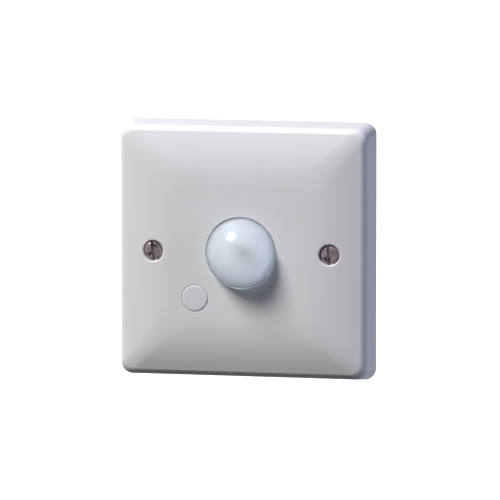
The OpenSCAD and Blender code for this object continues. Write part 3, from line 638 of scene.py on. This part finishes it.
button_at = (-15.75, -15.6)
lens_recess_r, lens_hole_r = 13.6, 12.05
button_recess_r, button_hole_r = 6.3, 4.5
ear_pilot_r, ear_pilot_top = 0.95, 13.1
column_pilot_r, column_pilot_top = 1.35, 12.1
shank_hole_r, sink_r = 1.95, 3.45
sink_z = face_z(boss_x + sink_r) - 0.35
sink_levels = [(shank_hole_r, -1), (shank_hole_r, sink_z - 1.5), (sink_r, sink_z)]
with_tool(plate, made("lens_bore", flanged_bore((0, 0), lens_recess_r, lens_hole_r, 0.3)))
with_tool(plate, made("button_bore", flanged_bore(button_at, button_recess_r, button_hole_r, 0.25)))
for side in (-1, 1):
    with_tool(plate, made("screw_bore", bore((side * boss_x, 0), sink_levels, 0.6, 0.3)))
    with_tool(plate, made("ear_pilot", rod((0, side * ear_y), ear_pilot_r, 10, ear_pilot_top)))
for at in column_places:
    with_tool(plate, made("column_pilot", rod(at, column_pilot_r, rim_z - 1, column_pilot_top)))
eased(plate, 0, 32)
urea_white = moulded("urea_white", (232, 232, 235), (229, 229, 232), (0.26, 0.34),
                     grain=1500, relief=0.002, flow_scale=25)
fitted(plate, "switch", "plate_white", urea_white, "face_plate")


# Lens: a thin half ball of milky polyethylene that lets body heat through to the sensor.
# Its flange lies behind the plate's middle hole, and a ring with two screws holds it.

lens_r, lens_wall, lens_flange_r = 11.9, 0.9, 13.2


def half_ball(r):
    """Radii and levels of a half ball, from the ceiling of the plate to its top."""
    steps = 48
    turns = [math.pi / 2 * i / steps for i in range(steps)]
    return [(r * math.cos(turn), ceiling_z + r * math.sin(turn)) for turn in turns] + [(0, ceiling_z + r)]


profile = [(lens_r - lens_wall, flange_back), (lens_flange_r, flange_back), (lens_flange_r, ceiling_z)]
profile += half_ball(lens_r) + half_ball(lens_r - lens_wall)[::-1]
lens = eased(made("lens_moulding", turned(profile, sides=128, closed=True)), 0, 35)
milky = moulded("milky_lens", (247, 252, 255), (244, 250, 254), (0.54, 0.62),
                grain=900, relief=0.001, flow_scale=30,
                **{"Transmission Weight": 0.79, "IOR": 1.25, "Coat Weight": 1.0, "Coat Roughness": 0.05})
fitted(lens, "switch", "lens_white", milky, "lens_dome")
refinished("lens_retainer", moulded("inner_white", (226, 226, 224), (218, 218, 216), (0.4, 0.55), grain=1900))
refinished("retainer_screws", zinc)


# Push button: a round cap with a softly rounded edge, a flange that stops it behind the
# plate and a stem that ends just over the push switch. A steel spring carries it.

button_r, button_top = 4.4, 14.9
button_edge_w, button_edge_h, button_edge_steps = 0.9, 0.2, 12
button_flange_r = 5.9
stem_r, stem_back = 1.5, 10.8
profile = [(0, stem_back), (1.35, stem_back), (stem_r, 10.95), (stem_r, flange_back),
           (button_flange_r, flange_back), (button_flange_r, ceiling_z), (button_r, ceiling_z)]
for i in range(button_edge_steps + 1):
    turn = math.pi / 2 * i / button_edge_steps
    profile.append((button_r - button_edge_w * (1 - math.cos(turn)),
                    button_top - button_edge_h * (1 - math.sin(turn))))
profile += [(0, button_top)]
button = eased(made("button_cap", turned(profile, button_at)), 0, 35)
button_white = moulded("button_white", (230, 228, 233), (227, 225, 230), (0.3, 0.4),
                       grain=1500, relief=0.004, flow_scale=40)
fitted(button, "button", "button_white", button_white, "push_button")

spring_low, spring_high, spring_mean_r = 6.27, 11.03, 4.843
wire_r, wire_sides = 0.24, 10
curls, curl_steps, flat_share = 4, 40, 0.06
rings = []
for k in range(curls * curl_steps + 1):
    turn = 2 * math.pi * k / curl_steps
    rise = (k / (curls * curl_steps) - flat_share) / (1 - 2 * flat_share)
    z = spring_low + (spring_high - spring_low) * min(max(rise, 0), 1)
    ring = []
    for i in range(wire_sides):
        a = -2 * math.pi * i / wire_sides
        r = spring_mean_r + wire_r * math.cos(a)
        ring.append((*around(button_at, r, turn), z + wire_r * math.sin(a)))
    rings.append(ring)
spring = eased(made("button_spring_wire", ringed(rings)), 0, 50)
spring_steel = plated("spring_wire", (196, 198, 202), (150, 152, 158), (0.2, 0.34))
fitted(spring, "switch", "spring_steel", spring_steel, "button_spring")
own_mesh(spring)


# Fixing screws: two nickel plated raised countersunk screws that pull the plate against
# the wall box. The head takes a flat or a cross driver, and the thread is rolled.

head_r, dome_r, dome_rise = 3.3, 2.9, 0.55
head_z = face_z(boss_x + sink_r) - 0.4
cone_z = head_z - 1.7
slot_z = head_z - 0.5
screw_length = 30
tip_z = head_z + 0.05 - screw_length
shank_r = 1.5
head_profile = [(0, 0.2), (shank_r, 0.2), (shank_r, cone_z), (head_r, head_z + 0.05), (head_r, head_z + 0.22),
                (3.05, head_z + 0.36)]
for degrees in (0, 10, 22, 34, 46, 58, 70, 80):
    turn = math.radians(degrees)
    head_profile.append((dome_r * math.cos(turn), head_z + 0.4 + dome_rise * math.sin(turn)))
head_profile.append((0, head_z + 0.4 + dome_rise))
tip_profile = [(0, tip_z), (1.15, tip_z), (1.42, tip_z + 1.0), (0, tip_z + 1.1)]
nickel = plated("dull_nickel", (162, 149, 157), (92, 81, 88), (0.3, 0.5),
                relief=0.012, tarnish_scale=420, scratch_scale=3500, Metallic=0.6)
for side, word in ((-1, "left"), (1, "right")):
    at = (side * boss_x, 0)
    head = made(f"fixing_screw_{word}", turned(head_profile, at))
    with_tool(head, made("slot", block(at, (1.0, 7.4), slot_z, head_z + 2, 8)))
    with_tool(head, made("cross", block(at, (4.2, 0.9), slot_z, head_z + 2, 45)))
    fitted(eased(head, 0.08), "switch", "screw_nickel", nickel)
    thread = made(f"fixing_thread_{word}", screw_thread(at, 1.4, 1.75, tip_z + 1.0, 0.24, 0.6))
    fitted(eased(thread, 0, 50), "switch", "screw_nickel", nickel)
    tip = made(f"fixing_tip_{word}", turned(tip_profile, at, 48))
    fitted(eased(tip, 0.05), "switch", "screw_nickel", nickel)
    if side < 0:
        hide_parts("fixing_screws")


# Floor, light and camera: a pale floor well below the switch, a soft window light high on
# the left with a cool sky light over it, two weak cool lamps from the right and from
# behind, and a long lens at the photograph's angle.

def backdrop_share(tree, mirrored):
    """How far a ray sees the backdrop: wholly from the camera or through glass, in part in a reflection."""
    seen = tree.nodes.new("ShaderNodeLightPath")
    in_gloss = sums(tree, "MULTIPLY", seen.outputs["Is Glossy Ray"], mirrored)
    direct = sums(tree, "MAXIMUM", seen.outputs["Is Camera Ray"], in_gloss)
    return sums(tree, "MAXIMUM", direct, seen.outputs["Is Transmission Ray"])


def lit_or_seen(tree, share, lit, seen, output_kind):
    """Joins what lights the object and what is seen as a backdrop, and gives them to the output."""
    chosen = tree.nodes.new("ShaderNodeMixShader")
    tree.links.new(share, chosen.inputs[0])
    tree.links.new(lit.outputs[0], chosen.inputs[1])
    tree.links.new(seen.outputs[0], chosen.inputs[2])
    tree.links.new(chosen.outputs[0], tree.nodes.new(output_kind).inputs["Surface"])


floor_z, floor_half = -200, 9000
floor_look = bpy.data.materials.new("pale_floor")
floor_look.use_nodes = True
tree = floor_look.node_tree
tree.nodes.clear()
paper = tree.nodes.new("ShaderNodeBsdfDiffuse")
paper.inputs["Color"].default_value = (0.6, 0.6, 0.61, 1)
glow = tree.nodes.new("ShaderNodeEmission")
away = tree.nodes.new("ShaderNodeVectorMath")
away.operation = "LENGTH"
tree.links.new(tree.nodes.new("ShaderNodeTexCoord").outputs["Object"], away.inputs[0])
tree.links.new(ranged(tree, away.outputs["Value"], 0.5, 1.3, 0.55, 1.0), glow.inputs["Strength"])
bright = tree.nodes.new("ShaderNodeAddShader")
tree.links.new(paper.outputs[0], bright.inputs[0])
tree.links.new(glow.outputs[0], bright.inputs[1])
dim = tree.nodes.new("ShaderNodeBsdfDiffuse")
dim.inputs["Color"].default_value = (0.04, 0.04, 0.04, 1)
lit_or_seen(tree, backdrop_share(tree, 0.5), dim, bright, "ShaderNodeOutputMaterial")
floor_corners = [(x * floor_half, floor_z, z * floor_half) for x, z in ((-1, -1), (1, -1), (1, 1), (-1, 1))]
floor = made("floor", (floor_corners, [[0, 1, 2, 3]]))
floor.data.materials.append(floor_look)

world = bpy.data.worlds.new("studio")
bpy.context.scene.world = world
world.use_nodes = True
tree = world.node_tree
tree.nodes.clear()
white = tree.nodes.new("ShaderNodeBackground")
white.inputs["Color"].default_value = (1, 1, 1, 1)
room = tree.nodes.new("ShaderNodeBackground")
room.inputs["Color"].default_value = (0.9, 0.95, 1.0, 1)
room.inputs["Strength"].default_value = 0.02
lit_or_seen(tree, backdrop_share(tree, 0.2), room, white, "ShaderNodeOutputWorld")


def lamp(name, direction, size, level, colour, mirrored=True):
    """A soft lamp: the way to it from the switch, its size in metres and how bright it makes a white card."""
    distance = 3
    data = bpy.data.lights.new(name, "AREA")
    data.shape, data.size, data.size_y = "RECTANGLE", size[0], size[1]
    data.energy, data.color = level * (math.pi * distance) ** 2, colour
    piece = bpy.data.objects.new(name, data)
    way = wall(*direction).normalized()
    piece.location = way * distance
    piece.rotation_euler = way.to_track_quat("Z", "Y").to_euler()
    piece.visible_camera = False
    piece.visible_glossy = mirrored
    bpy.context.scene.collection.objects.link(piece)


lamp("window", (-0.44, 0.785, 0.445), (1.0, 1.15), 1.4, (1.0, 0.95, 0.91))
lamp("sky_fill", (-0.42, 0.88, 0.2), (2.4, 1.6), 0.25, (0.3, 0.6, 1.0))
# Without its reflection, which would be a bright spot on the right of the lens
lamp("right_rim", (0.97, 0.06, 0.14), (1.6, 1.6), 0.45, (0.66, 0.72, 1.0), mirrored=False)
lamp("rear_fill", (-0.55, 0.12, -0.83), (2.0, 0.6), 0.45, (0.95, 0.97, 1.0))

azimuth, elevation = math.radians(12.52), math.radians(6.8)
camera_distance = 2.342
pixels_per_mm, image_pixels, sensor_width = 2.972, 500, 36
view_rise = 0.00063
eye = Vector((math.sin(azimuth) * math.cos(elevation), -math.cos(azimuth) * math.cos(elevation),
              math.sin(elevation)))
camera = bpy.data.objects.new("camera", bpy.data.cameras.new("camera"))
camera.data.sensor_width = sensor_width
camera.data.lens = pixels_per_mm * camera_distance * 1000 / image_pixels * sensor_width
camera.data.clip_end = 100
camera.rotation_euler = eye.to_track_quat("Z", "Y").to_euler()
camera.location = eye * camera_distance - camera.rotation_euler.to_matrix() @ Vector((0, view_rise, 0))
bpy.context.scene.collection.objects.link(camera)
bpy.context.scene.camera = camera
bpy.context.scene.view_settings.view_transform = "Standard"
